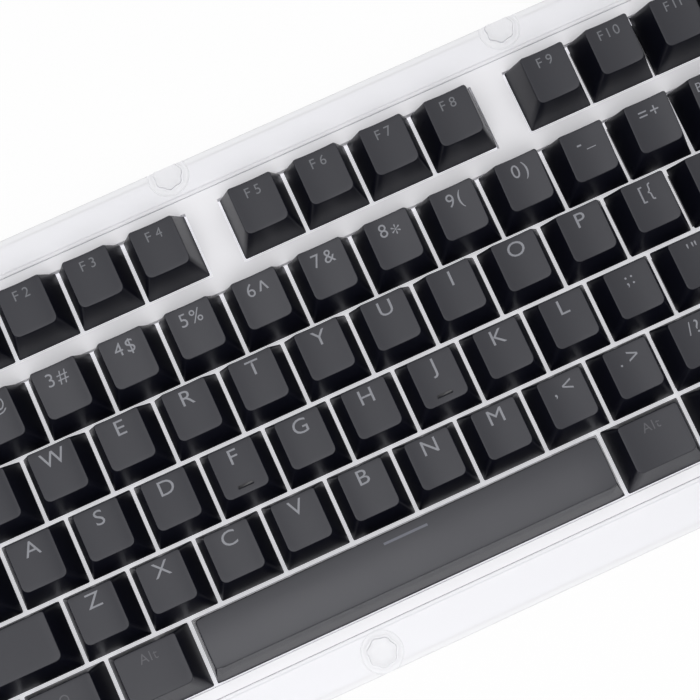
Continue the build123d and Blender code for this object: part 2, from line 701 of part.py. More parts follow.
with BuildPart() as clear_rim:
    with BuildSketch(Plane.XY.offset(ledge_top)):
        with Locations((0, rim_middle_y)):
            RectangleRounded(rim_width, rim_depth, rim_corner)
        with Locations((0, step_middle_y)):
            Rectangle(step_width, step_depth, mode=Mode.SUBTRACT)
    extrude(amount=rim_thickness)
    with BuildSketch(Plane.XY.offset(cover_top)):
        with Locations((0, step_middle_y)):
            Rectangle(step_width + 2 * rim_bead_width, step_depth + 2 * rim_bead_width)
            Rectangle(step_width, step_depth, mode=Mode.SUBTRACT)
        with Locations(*stud_places):
            Circle(stud_ring_radius + fit_clearance, mode=Mode.SUBTRACT)
    extrude(amount=rim_bead_height)
    with BuildSketch(Plane.XY.offset(ledge_top)):
        with Locations((0, rim_middle_y)):
            RectangleRounded(rim_width, rim_depth, rim_corner)
            inset = 2 * rim_lip_thickness
            RectangleRounded(
                rim_width - inset, rim_depth - inset, rim_corner - rim_lip_thickness, mode=Mode.SUBTRACT
            )
    extrude(amount=-rim_lip)
    with BuildSketch(Plane.XY.offset(ledge_top)):
        with Locations(*stud_places):
            Circle(stud_pin_radius + fit_clearance)
    extrude(amount=rim_thickness, mode=Mode.SUBTRACT)

# ---- fasteners, feet and small pieces -------------------------------------------------------------
with BuildPart() as rim_stud:
    with BuildSketch():
        Circle(stud_ring_radius)
    extrude(amount=stud_ring_height)
    with BuildSketch(Plane.XY.offset(stud_ring_height)):
        RegularPolygon(stud_disc_radius, stud_lobes)
    extrude(amount=stud_disc_height - stud_ring_height, taper=20)
    with BuildSketch():
        Circle(stud_pin_radius)
    extrude(amount=cover_bottom - cover_top)

with BuildPart() as rear_stud:
    add(rim_stud.part)
    trim = 2 * stud_ring_radius
    with Locations((0, stud_rear_inset + trim / 2, 0)):
        Box(trim, trim, trim, mode=Mode.SUBTRACT)

with BuildPart() as plate_screw:
    with BuildSketch():
        Circle(screw_head_radius)
    extrude(amount=screw_head_height)
    with BuildSketch():
        Circle(screw_shank_radius)
    extrude(amount=-(screw_length - screw_head_height))
    with BuildSketch(Plane.XY.offset(screw_head_height)):
        RegularPolygon(screw_head_radius / 2, 6)
    extrude(amount=-screw_head_height / 2, mode=Mode.SUBTRACT)

with BuildPart() as rubber_pad:
    with BuildSketch():
        SlotOverall(pad_length, pad_width)
    extrude(amount=rubber_thickness)

with BuildPart() as flip_foot:
    with BuildSketch(Plane.YZ):
        Circle(foot_thickness / 2)
        with Locations((-foot_length / 2, 0)):
            Rectangle(foot_length, foot_thickness)
    extrude(amount=foot_width / 2, both=True)
    fillet(flip_foot.faces().sort_by(Axis.Y)[0].edges().filter_by(Axis.Z), radius=foot_thickness)
    with BuildSketch(Plane.YZ):
        Circle(foot_pin_radius)
    extrude(amount=pin_reach, both=True)

with BuildPart() as usb_socket:
    with BuildSketch(Plane.XZ.offset(-usb_mouth_y)):
        with Locations((usb_x, usb_middle_z)):
            RectangleRounded(usb_width, usb_height, usb_height / 2.01)
    extrude(amount=usb_depth)
    with BuildSketch(Plane.XZ.offset(-usb_mouth_y)):
        with Locations((usb_x, usb_middle_z)):
            inside = usb_height - 2 * usb_wall
            RectangleRounded(usb_width - 2 * usb_wall, inside, inside / 2.01)
            Rectangle(usb_width - 4 * usb_wall - 1, inside / 3, mode=Mode.SUBTRACT)
    extrude(amount=usb_depth - 2 * usb_wall, mode=Mode.SUBTRACT)

with BuildPart() as controller_chip:
    with BuildSketch(Plane.XY.offset(board_top)):
        with Locations((key_left + (navigation_left + 1.5) * unit, key_front + 2.5 * unit)):
            Rectangle(controller_size[0], controller_size[1])
    extrude(amount=controller_size[2])

with BuildPart() as lock_light:
    with BuildSketch(Plane.XY.offset(plate_top)):
        Circle(lock_light_radius)
    extrude(amount=cover_top - plate_top)

# ---- writing the nodes ----------------------------------------------------------------------------
os.makedirs("parts", exist_ok=True)

write_node(bottom_case.part, "bottom_case")
write_node(top_cover.part, "top_cover")
write_node(clear_rim.part, "clear_rim")
write_node(switch_plate.part, "switch_plate")
write_node(circuit_board.part, "circuit_board")
write_node(case_foam.part, "case_foam")
write_node(usb_socket.part, "usb_socket")
write_node(controller_chip.part, "controller_chip")

write_group([placed((rear_stud if y > 0 else rim_stud).part, x, y, cover_top) for x, y in stud_places], "rim_studs")
write_group([placed(plate_screw.part, x, y, plate_top) for x, y in screw_places], "plate_screws")
write_group([placed(lock_light.part, x, y, 0) for x, y in lock_light_places], "lock_light_pipes")
pad_places = [
    (side * (rim_width / 2 - pad_inset - pad_length / 2), y)
    for side in (-1, 1)
    for y in (rim_middle_y - case_depth / 2 + pad_inset / 2, rim_middle_y + case_depth / 2 - pad_inset / 2)
]
write_group([placed(rubber_pad.part, x, y, 0) for x, y in pad_places], "rubber_pads")
for name, (x, y) in zip(("left_flip_foot", "right_flip_foot"), foot_places):
    write_group([placed(flip_foot.part, x, y, foot_pin_z)], name)

switch_pieces = {
    "switch_lower_housings": lower_housing.part,
    "switch_upper_housings": upper_housing.part,
    "switch_springs": coil_spring.part,
    "backlight_lamps": backlight_lamp.part,
    "switch_diodes": diode.part,
}
for name, piece in switch_pieces.items():
    write_group([placed(piece, x, y, plate_top) for x, y in switch_places], name)
write_group(
    [placed(contact.part, x + side * contact_x, y, plate_top) for x, y in switch_places for side in (-1, 1)],
    "switch_contacts",
)
write_group(
    [placed(stabiliser_housing.part, x, y, plate_top, turn) for x, y, turn in stabiliser_places],
    "stabiliser_housings",
)
wires = {offset: make_wire(offset) for offset in (short_stabiliser, long_stabiliser)}
write_group(
    [
        placed(wires[stabiliser_offset(key)], *key_place(key), plate_top, 0 if key[3] >= key[4] else -90)
        for key in stabilised_keys
    ],
    "stabiliser_wires",
)

caps = {}


def key_pieces(key):
    """A key's cap, its stem and the stems of its stabilisers, each where it stands at rest."""
    name, _, _, width, depth, profile = key
    x, y = key_place(key)
    offset = stabiliser_offset(key)
    homing = name in ("f", "j")
    shape = (width, depth, profile, offset, homing)
    if shape not in caps:
        caps[shape] = make_space_bar(width) if name == "space" else make_cap(*shape)
    pieces = [placed(caps[shape], x, y, skirt_level), placed(stem.part, x, y, plate_top)]
    if offset:
        for post_x, post_y in cap_posts(offset, depth > width)[::2]:
            turn = 90 if depth > width else 0
            pieces.append(placed(stabiliser_stem.part, x + post_x, y + post_y, plate_top, turn))
    return pieces


node_of_key = {name: node for node, names in grouped_keys.items() for name in names}
nodes = {}
for key in layout:
    nodes.setdefault(node_of_key.get(key[0], f"key_{key[0]}"), []).extend(key_pieces(key))
for name, pieces in nodes.items():
    write_group(pieces, name)
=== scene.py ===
import json
from math import cos, pi, radians, sin, tan

import bmesh
import bpy
from mathutils import Matrix, Vector


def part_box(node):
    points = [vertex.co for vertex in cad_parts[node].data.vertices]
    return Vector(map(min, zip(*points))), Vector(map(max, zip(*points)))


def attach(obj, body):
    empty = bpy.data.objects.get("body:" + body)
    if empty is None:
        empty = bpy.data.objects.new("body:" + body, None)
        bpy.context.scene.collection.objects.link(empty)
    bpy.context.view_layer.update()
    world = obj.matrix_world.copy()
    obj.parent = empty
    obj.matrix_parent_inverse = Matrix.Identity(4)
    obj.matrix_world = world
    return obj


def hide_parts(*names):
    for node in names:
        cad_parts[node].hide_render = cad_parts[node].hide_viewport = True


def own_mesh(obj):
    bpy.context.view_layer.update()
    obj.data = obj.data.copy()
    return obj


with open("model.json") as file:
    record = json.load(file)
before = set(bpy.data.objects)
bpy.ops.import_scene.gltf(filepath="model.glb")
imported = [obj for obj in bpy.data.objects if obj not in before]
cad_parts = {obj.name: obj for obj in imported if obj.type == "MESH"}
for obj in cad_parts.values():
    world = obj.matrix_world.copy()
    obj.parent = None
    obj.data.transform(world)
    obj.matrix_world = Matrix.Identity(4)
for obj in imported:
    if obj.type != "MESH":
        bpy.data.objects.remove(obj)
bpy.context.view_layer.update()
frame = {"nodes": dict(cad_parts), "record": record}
record = frame["record"]
mm = 0.001


# sums of sockets, for shaders and Geometry Nodes
class Value:
    def __init__(self, graph, socket):
        self.graph, self.socket = graph, socket

    def __add__(self, other):
        return self.graph.math("ADD", self, other)

    def __sub__(self, other):
        return self.graph.math("SUBTRACT", self, other)

    def __rsub__(self, other):
        return self.graph.math("SUBTRACT", other, self)

    def __mul__(self, other):
        return self.graph.math("MULTIPLY", self, other)

    def __truediv__(self, other):
        return self.graph.math("DIVIDE", self, other)

    def limited(self, low=0.0, high=1.0):
        return self.graph.math("MINIMUM", self.graph.math("MAXIMUM", self, low), high)

    def out(self, name):
        return Value(self.graph, self.socket.node.outputs[name])


class Graph:
    def __init__(self, tree):
        self.tree = tree

    def node(self, kind, settings=None, values=None):
        made = self.tree.nodes.new(kind)
        for name, setting in (settings or {}).items():
            setattr(made, name, setting)
        for key, value in (values or {}).items():
            if isinstance(value, Value):
                self.tree.links.new(value.socket, made.inputs[key])
            else:
                made.inputs[key].default_value = value
        first = next((s for s in made.outputs if s.enabled), None)
        return Value(self, first) if first else made

    def math(self, operation, *values):
        return self.node("ShaderNodeMath", {"operation": operation}, dict(enumerate(values)))

    def between(self, low, high, share):
        return share * (high - low) + low

    def colour(self, share, first, second):
        return self.node("ShaderNodeMix", {"data_type": "RGBA"}, {0: share, 6: first, 7: second})


def meshFrom(bm, name):
    mesh = bpy.data.meshes.new(name)
    bm.to_mesh(mesh)
    bm.free()
    return mesh


# finishes, in linear colour; grain and depth are in metres, and sideRoughness is for walls
finishes = {
    "keycap": {
        "colour": (0.0024, 0.0027, 0.0062), "worn": (0.0036, 0.0039, 0.0080),
        "roughness": 0.41, "sideRoughness": 0.37, "grain": 0.0003, "depth": 0.000006,
        "tint": (0.965, 0.965, 1.0), "specular": 0.41},
    "spaceKey": {
        "colour": (0.0030, 0.0033, 0.0068), "worn": (0.0042, 0.0045, 0.0086),
        "roughness": 0.38, "sideRoughness": 0.2, "grain": 0.0003, "depth": 0.000006,
        "tint": (0.965, 0.965, 1.0), "specular": 0.53},
    "legend": {
        "colour": (0.20, 0.205, 0.23), "worn": (0.235, 0.24, 0.265), "roughness": 0.5,
        "grain": 0.0003, "depth": 0.000004},
    "functionLegend": {
        "colour": (0.115, 0.12, 0.135), "worn": (0.14, 0.145, 0.16), "roughness": 0.5,
        "grain": 0.0003, "depth": 0.000004},
    "faintLegend": {
        "colour": (0.05, 0.05, 0.06), "worn": (0.062, 0.062, 0.072), "roughness": 0.5,
        "grain": 0.0003, "depth": 0.000004},
    # a lighter strip across the space bar's top: a painted highlight of a crease, not print
    "barLegend": {
        "colour": (0.10, 0.105, 0.13), "worn": (0.12, 0.125, 0.15), "roughness": 0.5,
        "grain": 0.0003, "depth": 0.000004},
    "switchStem": {
        "colour": (0.012, 0.012, 0.013), "worn": (0.016, 0.016, 0.018), "roughness": 0.38,
        "grain": 0.0004, "depth": 0.000004},
    "deckWhite": {
        "colour": (0.93, 0.925, 0.955), "worn": (0.90, 0.895, 0.925), "roughness": 0.42,
        "grain": 0.0005, "depth": 0.000006},
    # the plate's emission is a painted glow with no lamp behind it; it brightens the gaps between the keys
    "plateWhite": {
        "colour": (0.80, 0.80, 0.82), "worn": (0.74, 0.74, 0.76), "roughness": 0.5,
        "grain": 0.0006, "depth": 0.000012, "glow": (0.96, 0.96, 1.0), "glowStrength": 0.52},
    "casePlastic": {
        "colour": (0.82, 0.82, 0.83), "worn": (0.77, 0.77, 0.78), "roughness": 0.5,
        "grain": 0.0006, "depth": 0.00002},
    "foam": {
        "colour": (0.05, 0.05, 0.055), "worn": (0.075, 0.075, 0.08), "roughness": 0.95,
        "grain": 0.0011, "depth": 0.00012},
    "blackPlastic": {
        "colour": (0.022, 0.022, 0.024), "worn": (0.03, 0.03, 0.032), "roughness": 0.42,
        "grain": 0.0005, "depth": 0.000008},
    "rubber": {
        "colour": (0.028, 0.028, 0.03), "worn": (0.05, 0.05, 0.052), "roughness": 0.85,
        "grain": 0.0005, "depth": 0.00003},
    "lampWhite": {
        "colour": (0.9, 0.9, 0.84), "worn": (0.82, 0.82, 0.72), "roughness": 0.28,
        "grain": 0.0008, "depth": 0.000004},
}


def newMaterial(name):
    material = bpy.data.materials.new(name)
    material.use_nodes = True
    material.node_tree.nodes.clear()
    graph = Graph(material.node_tree)
    return material, graph


def finish(graph, surface):
    graph.node("ShaderNodeOutputMaterial", {}, {"Surface": surface})


def noise(graph, place, scale, detail):
    return graph.node("ShaderNodeTexNoise", {}, {"Vector": place, "Scale": scale, "Detail": detail})


def heightOf(graph, vector):
    return graph.node("ShaderNodeSeparateXYZ", {}, {0: vector}).out("Z")


def seenDirectly(graph):
    # 1 for rays from the camera, off gloss or through glass
    path = graph.node("ShaderNodeLightPath")
    return (path.out("Is Camera Ray") + path.out("Is Glossy Ray") + path.out("Is Transmission Ray")).limited()


mouldPlan = {
    "patchScale": 45.0, "wearContrast": 1.6, "wearStart": 0.3,  # broad patches of wear
    "topContrast": 2.0, "topStart": 0.9,  # from walls to tops, by the height of the normal
    "patchGloss": 0.14, "grainGloss": 0.1,
}


def mouldedPlastic(name):
    # two scales of noise: broad patches of wear, and the fine grain of the mould
    look = finishes[name]
    material, graph = newMaterial(name)
    place = graph.node("ShaderNodeTexCoord").out("Object")
    patches = noise(graph, place, mouldPlan["patchScale"], 3.0)
    grain = noise(graph, place, 1 / look["grain"], 2.0)
    worn = (patches * mouldPlan["wearContrast"] - mouldPlan["wearStart"]).limited()
    tint = graph.colour(worn, (*look["colour"], 1), (*look["worn"], 1))
    relief = graph.node("ShaderNodeBump", {}, {"Height": grain, "Strength": 0.6, "Distance": look["depth"]})
    upward = heightOf(graph, graph.node("ShaderNodeTexCoord").out("Normal"))
    facingUp = (upward * mouldPlan["topContrast"] - mouldPlan["topStart"]).limited()
    base = graph.between(look.get("sideRoughness", look["roughness"]), look["roughness"], facingUp)
    spread = (patches - 0.5) * mouldPlan["patchGloss"] + (grain - 0.5) * mouldPlan["grainGloss"]
    # the emission is a painted glow, given only to the white plate
    specularTint, glow = look.get("tint", (1, 1, 1)), look.get("glow", (1, 1, 1))
    finish(graph, graph.node("ShaderNodeBsdfPrincipled", {}, {
        "Base Color": tint, "Roughness": spread + base, "Normal": relief,
        "Specular IOR Level": look.get("specular", 0.5), "Specular Tint": (*specularTint, 1),
        "Emission Color": (*glow, 1), "Emission Strength": look.get("glowStrength", 0.0)}))
    return material


# the brushing runs along x; shade darkens its lines
brushPlan = {"scale": (120.0, 2600.0, 2600.0), "shade": 0.8, "depth": 0.00001, "gloss": 0.2}


def brushedMetal(name, colour, roughness):
    material, graph = newMaterial(name)
    place = graph.node("ShaderNodeTexCoord").out("Object")
    along = graph.node("ShaderNodeMapping", {}, {"Vector": place, "Scale": brushPlan["scale"]})
    lines = noise(graph, along, 1.0, 3.0)
    tint = graph.colour(lines, (*colour, 1), (*(brushPlan["shade"] * c for c in colour), 1))
    relief = graph.node("ShaderNodeBump", {}, {
        "Height": lines, "Strength": 0.3, "Distance": brushPlan["depth"]})
    finish(graph, graph.node("ShaderNodeBsdfPrincipled", {}, {
        "Base Color": tint, "Metallic": 1.0, "Normal": relief,
        "Roughness": (lines - 0.5) * brushPlan["gloss"] + roughness}))
    return material


def circuitBoard(name):
    # solder mask over fine copper tracks
    material, graph = newMaterial(name)
    place = graph.node("ShaderNodeTexCoord").out("Object")
    tracks = graph.node("ShaderNodeTexBrick", {}, {
        "Vector": place, "Scale": 260.0, "Mortar Size": 0.035, "Mortar Smooth": 0.3,
        "Color1": (0.010, 0.085, 0.036, 1), "Color2": (0.012, 0.098, 0.042, 1),
        "Mortar": (0.03, 0.17, 0.075, 1)})
    gaps = tracks.out("Fac")
    relief = graph.node("ShaderNodeBump", {}, {"Height": gaps, "Strength": 0.4, "Distance": 0.00003})
    finish(graph, graph.node("ShaderNodeBsdfPrincipled", {}, {
        "Base Color": tracks, "Roughness": gaps * 0.15 + 0.3, "Normal": relief}))
    return material


# body is the share of light that the face of the plastic keeps, and sideBody what a steep wall adds; side is
# a painted shade, a grey for steep walls
clearLook = {
    "clearRim": {"face": (0.87, 0.87, 0.895), "side": (0.62, 0.62, 0.66), "body": 0.86, "roughness": 0.42},
    "lampClear": {"face": (0.86, 0.88, 0.90), "side": (0.62, 0.63, 0.66), "body": 0.35, "roughness": 0.15},
}
sideBody = 0.14


def clearPlastic(name):
    # a milky body, denser on steep walls and painted grey there, a painted shade for the dark lines that
    # refraction draws at steps; light passes it, and its far side isn't seen
    look = clearLook[name]
    material, graph = newMaterial(name)
    place = graph.node("ShaderNodeTexCoord")
    waves = noise(graph, place.out("Object"), 60.0, 2.0)
    steep = (1.0 - graph.math("ABSOLUTE", heightOf(graph, place.out("Normal")))).limited()
    # painted shade: steep walls turn grey, whatever the light
    tint = graph.colour(steep, (*look["face"], 1), (*look["side"], 1))
    plastic = graph.node("ShaderNodeBsdfPrincipled", {}, {
        "Base Color": tint, "Roughness": (waves - 0.5) * 0.08 + look["roughness"]})
    empty = graph.node("ShaderNodeBsdfTransparent", {}, {"Color": (0.99, 0.99, 0.995, 1)})
    inside = graph.node("ShaderNodeNewGeometry").out("Backfacing")
    shadow = graph.node("ShaderNodeLightPath").out("Is Shadow Ray")
    share = (steep * sideBody + look["body"]).limited() * (1.0 - inside) * (1.0 - shadow)
    finish(graph, graph.node("ShaderNodeMixShader", {}, {0: share, 1: empty, 2: plastic}))
    return material


materials = {name: mouldedPlastic(name) for name in finishes}
materials["brightMetal"] = brushedMetal("brightMetal", (0.62, 0.62, 0.64), 0.3)
materials["contactBrass"] = brushedMetal("contactBrass", (0.78, 0.57, 0.25), 0.28)
materials["board"] = circuitBoard("board")
materials["clearRim"] = clearPlastic("clearRim")
materials["lampClear"] = clearPlastic("lampClear")
print("finishes made:", len(materials))

finishOfSlot = {
    "keycap": "keycap", "deck_white": "deckWhite", "plate_white": "plateWhite", "clear_rim": "clearRim",
    "case_plastic": "casePlastic", "board": "board", "foam": "foam", "bright_metal": "brightMetal",
    "contact_brass": "contactBrass", "black_plastic": "blackPlastic", "lamp_clear": "lampClear",
    "lamp_white": "lampWhite", "rubber": "rubber",
}
for part in record["subparts"]:
    mesh = frame["nodes"][part["node"]].data
    mesh.materials.clear()
    mesh.materials.append(materials[finishOfSlot[part["material_slot"]]])


# keys
keyPlan = {
    "pitch": 19.05,
    "gap": 1.05,  # between neighbouring skirts
    "sideTaper": 2.85,
    "wall": 1.3,
    "topThickness": 1.5,
    "dish": 0.75,
    "skirtCorner": 0.45,
    "topCorner": 1.7,
    "rearCorner": 0.7,
    "edgeRadius": 0.32,
    # front height, rear height, front setback and rear setback of the top, in millimetres
    "rows": {
        "function": (10.5, 11.6, 3.65, 1.1),
        "high": (10.0, 12.1, 3.65, 1.1),
        "upper": (8.8, 9.5, 3.65, 0.85),
        "home": (8.9, 9.0, 3.65, 1.0),
        "lower": (9.5, 9.7, 3.75, 0.95),
        "space": (8.3, 8.6, 3.7, 0.45),
    },
    "spaceCrown": 0.75,
    "spaceTaper": 2.05,
    "spaceCorner": 0.9,
    "crowding": 0.35,  # how far the grid's points move towards the corners
    "sideStart": 0.06,  # share of the side's height at the first ring below the edge
    "innerSharpening": 0.75,  # share of the skirt's corner that the inner wall lacks
}

fieldSize = Vector((22.5, 6.25))  # in pitches
# each run of keys: names, left edge and front edge in pitches, row, widths
runs = [
    (["left_ctrl", "left_super", "left_alt"], 0, 0, "lower", [1.25] * 3),
    (["space"], 3.75, 0, "space", [6.25]),
    (["right_alt", "right_super", "menu", "right_ctrl"], 10, 0, "lower", [1.25] * 4),
    (["left_shift", *"zxcvbnm", "comma", "period", "slash", "right_shift"], 0, 1, "lower",
     [2.25] + [1] * 10 + [2.75]),
    (["caps_lock", *"asdfghjkl", "semicolon", "quote", "enter"], 0, 2, "home", [1.75] + [1] * 11 + [2.25]),
    (["tab", *"qwertyuiop", "left_bracket", "right_bracket", "backslash"], 0, 3, "upper",
     [1.5] + [1] * 12 + [1.5]),
    (["grave", *"1234567890", "minus", "equals", "backspace"], 0, 4, "high", [1] * 13 + [2]),
    (["escape"], 0, 5.25, "function", [1]),
    (["f1", "f2", "f3", "f4"], 2, 5.25, "function", [1] * 4),
    (["f5", "f6", "f7", "f8"], 6.5, 5.25, "function", [1] * 4),
    (["f9", "f10", "f11", "f12"], 11, 5.25, "function", [1] * 4),
    (["print", "scroll_lock", "pause"], 15.25, 5.25, "function", [1] * 3),
    (["insert", "home", "page_up"], 15.25, 4, "high", [1] * 3),
    (["delete", "end", "page_down"], 15.25, 3, "upper", [1] * 3),
    (["up"], 16.25, 1, "lower", [1]),
    (["left", "down", "right"], 15.25, 0, "lower", [1] * 3),
    (["num_lock", "divide", "multiply", "subtract"], 18.5, 4, "high", [1] * 4),
    (["num_7", "num_8", "num_9"], 18.5, 3, "upper", [1] * 3),
    (["num_4", "num_5", "num_6"], 18.5, 2, "home", [1] * 3),
    (["num_1", "num_2", "num_3"], 18.5, 1, "lower", [1] * 3),
    (["num_0", "num_point"], 18.5, 0, "lower", [2, 1]),
]
groups = {
    "keys_number_row": ["grave", *"1234567890", "minus", "equals"],
    "keys_punctuation": [
        "left_bracket", "right_bracket", "backslash", "semicolon", "quote", "comma", "period", "slash"],
    "keys_left_modifiers": ["tab", "caps_lock", "left_shift", "left_ctrl", "left_super", "left_alt"],
    "keys_right_modifiers": [
        "backspace", "enter", "right_shift", "right_alt", "right_super", "menu", "right_ctrl"],
    "keys_escape_to_f4": ["escape", "f1", "f2", "f3", "f4"],
    "keys_f5_to_f8": ["f5", "f6", "f7", "f8"],
    "keys_f9_to_f12": ["f9", "f10", "f11", "f12"],
    "keys_navigation": [
        "print", "scroll_lock", "pause", "insert", "home", "page_up", "delete", "end", "page_down"],
    "keys_arrows": ["up", "left", "down", "right"],
    "keys_number_pad": [
        "num_lock", "divide", "multiply", "subtract", "num_7", "num_8", "num_9", "num_plus", "num_4",
        "num_5", "num_6", "num_1", "num_2", "num_3", "num_enter", "num_0", "num_point"],
}
bodyOfKey = {name: body for body, names in groups.items() for name in names}

keys = {}
for names, left, front, row, widths in runs:
    for name, width in zip(names, widths):
        keys[name] = {"x": left + width / 2, "y": front + 0.5, "width": width, "depth": 1, "row": row}
        left += width
keys["num_plus"] = {"x": 22.0, "y": 3.0, "width": 1, "depth": 2, "row": "upper"}
keys["num_enter"] = {"x": 22.0, "y": 1.0, "width": 1, "depth": 2, "row": "lower"}


def middle(node):
    low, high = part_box(node)
    return (low + high) / 2


pitch = (middle("key_w") - middle("key_q")).x
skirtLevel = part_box("top_cover")[1].z  # the raised deck and the skirts are level
fieldCorner = middle("key_q") - Vector((keys["q"]["x"], keys["q"]["y"], 0)) * pitch
fieldCorner.z = skirtLevel
for name, key in keys.items():
    key["body"] = bodyOfKey.get(name, "key_" + name)
    key["place"] = fieldCorner + Vector((key["x"], key["y"], 0)) * pitch


def capSizes(key):
    # millimetres, by the names of the tree's inputs
    frontHeight, rearHeight, frontSetback, rearSetback = keyPlan["rows"][key["row"]]
    isSpace = key["row"] == "space"
    taper = keyPlan["spaceTaper" if isSpace else "sideTaper"]
    width = key["width"] * keyPlan["pitch"] - keyPlan["gap"]
    depth = key["depth"] * keyPlan["pitch"] - keyPlan["gap"]
    return {
        "Skirt X": width / 2, "Skirt Y": depth / 2,
        "Top X": width / 2 - taper, "Top Y": (depth - frontSetback - rearSetback) / 2,
        "Top Middle": (frontSetback - rearSetback) / 2,
        "Front Height": frontHeight, "Rear Height": rearHeight,
        "Dish": 0.0 if isSpace else keyPlan["dish"], "Crown": keyPlan["spaceCrown"] if isSpace else 0.0,
        "Top Corner": keyPlan["spaceCorner" if isSpace else "topCorner"],
        "Rear Corner": keyPlan["spaceCorner" if isSpace else "rearCorner"],
        "Skirt Corner": keyPlan["skirtCorner"], "Edge": keyPlan["edgeRadius"],
        "Wall": keyPlan["wall"], "Top Thickness": keyPlan["topThickness"],
    }


def topHeight(sizes, x, y):
    # height of a cap's top over its skirt, as in the tree below
    along = min(max((y - sizes["Top Middle"] + sizes["Top Y"]) / (2 * sizes["Top Y"]), 0), 1)
    across = min(abs(x) / sizes["Top X"], 1)
    plane = sizes["Front Height"] + (sizes["Rear Height"] - sizes["Front Height"]) * along
    return plane - sizes["Dish"] * (1 - across**2) + sizes["Crown"] * (1 - (2 * along - 1) ** 2)


mergeDistance = 2e-6


def shapeTree(name, sizeNames):
    # a tree with named inputs: points to stand on, sizes and a material
    tree = bpy.data.node_groups.new(name, "GeometryNodeTree")
    tree.is_modifier = True
    kinds = {"Geometry": "Geometry", **{size: "Float" for size in sizeNames}, "Material": "Material"}
    for socket, kind in kinds.items():
        tree.interface.new_socket(socket, in_out="INPUT", socket_type="NodeSocket" + kind)
    tree.interface.new_socket("Geometry", in_out="OUTPUT", socket_type="NodeSocketGeometry")
    graph = Graph(tree)
    given = graph.node("NodeGroupInput")
    return graph, {socket: given.out(socket) for socket in kinds}


def spreadShape(graph, size, grid, where):
    # the grid's points go to their places, and the closed shape stands at every point given
    shaped = graph.node("GeometryNodeSetPosition", {}, {"Geometry": grid, "Position": where})
    joined = graph.node("GeometryNodeMergeByDistance", {}, {"Geometry": shaped, "Distance": mergeDistance})
    smooth = graph.node("GeometryNodeSetShadeSmooth", {}, {"Geometry": joined})
    spread = graph.node("GeometryNodeInstanceOnPoints", {}, {"Points": size["Geometry"], "Instance": smooth})
    real = graph.node("GeometryNodeRealizeInstances", {}, {"Geometry": spread})
    coated = graph.node("GeometryNodeSetMaterial", {}, {"Geometry": real, "Material": size["Material"]})
    graph.node("NodeGroupOutput", {}, {"Geometry": coated})
    return graph.tree


# rings on the top, in the rounded edge, and in all; how far round the edge goes, in degrees
capRings = {"top": 7, "edge": 4, "count": 16, "edgeTurn": 72}


def buildCapTree():
    # a square grid is drawn into rings: top, rounded edge, side, skirt, inner wall and ceiling
    graph, size = shapeTree("keycapShape", capSizes(keys["q"]))
    rings, top, edge = capRings["count"], capRings["top"], capRings["edge"]
    grid = graph.node("GeometryNodeMeshGrid", {}, {
        "Size X": 2.0, "Size Y": 2.0, "Vertices X": 2 * rings + 1, "Vertices Y": 2 * rings + 1})
    place = graph.node("ShaderNodeSeparateXYZ", {}, {0: graph.node("GeometryNodeInputPosition")})
    u, v = place.out("X"), place.out("Y")
    reach = graph.math("MAXIMUM", graph.math("ABSOLUTE", u), graph.math("ABSOLUTE", v))
    ring = graph.math("ROUND", reach * rings)
    reach = graph.math("MAXIMUM", reach, 1e-6)

    def crowded(share):  # more points near the corners
        return share * (1 + keyPlan["crowding"] - share * share * keyPlan["crowding"])

    a, b = crowded(u / reach), crowded(v / reach)
    onTop = (ring / top).limited()
    turned = ((ring - top) / edge).limited() * radians(capRings["edgeTurn"])
    first = top + edge
    started = (ring - first).limited() * keyPlan["sideStart"]
    down = graph.math("MAXIMUM", (ring - (first + 1)).limited(), started)
    inward = (ring - (first + 2)).limited()
    upward = (ring - (first + 3)).limited()
    closed = (ring - (first + 4)).limited()

    radius = size["Edge"]
    outward = radius * graph.math("SINE", turned)
    dropped = radius - radius * graph.math("COSINE", turned)
    tangent = radius * tan(radians(capRings["edgeTurn"] / 2))
    topX, topY = size["Top X"] - tangent, size["Top Y"] - tangent
    hollow = (size["Dish"] + size["Top Thickness"]) / ((size["Front Height"] + size["Rear Height"]) * 0.5)

    def halfSize(topHalf, skirtHalf, sharpTop):
        half = graph.between(topHalf * onTop + outward, skirtHalf, down) - size["Wall"] * inward
        ceiling = graph.between(sharpTop, skirtHalf, hollow) - size["Wall"]
        return graph.between(half, ceiling, upward) * (1.0 - closed)

    halfX = halfSize(topX, size["Skirt X"], size["Top X"])
    halfY = halfSize(topY, size["Skirt Y"], size["Top Y"])
    atRear = graph.math("GREATER_THAN", v, 0.0)
    topRound = graph.between(size["Top Corner"], size["Rear Corner"], atRear) - tangent
    bend = graph.between(topRound * onTop + outward, size["Skirt Corner"], down)
    bend = (bend - size["Skirt Corner"] * inward * keyPlan["innerSharpening"]) * (1.0 - closed)
    middleY = size["Top Middle"] * (1.0 - down) + size["Top Middle"] * (1.0 - hollow) * upward

    def rounded(share, half):
        sharp = share * half
        inner = half - bend
        held = graph.math("MINIMUM", graph.math("MAXIMUM", sharp, inner * -1.0), inner)
        return held, sharp - held

    heldX, awayX = rounded(a, halfX)
    heldY, awayY = rounded(b, halfY)
    away = graph.math("SQRT", awayX * awayX + awayY * awayY + 1e-12)
    x = heldX + awayX / away * bend
    y = heldY + awayY / away * bend + middleY

    along = ((y - size["Top Middle"] + size["Top Y"]) / (size["Top Y"] * 2.0)).limited()
    across = (graph.math("ABSOLUTE", x) / size["Top X"]).limited()
    bow = along * 2.0 - 1.0
    height = graph.between(size["Front Height"], size["Rear Height"], along)
    height = height - size["Dish"] * (1.0 - across * across) + size["Crown"] * (1.0 - bow * bow)
    ceilingHeight = graph.between(size["Front Height"], size["Rear Height"], along)
    ceilingHeight = ceilingHeight - size["Dish"] - size["Top Thickness"]
    z = (height - dropped) * (1.0 - down) + ceilingHeight * upward

    where = graph.node("ShaderNodeCombineXYZ", {}, {0: x * mm, 1: y * mm, 2: z * mm})
    return spreadShape(graph, size, grid, where)


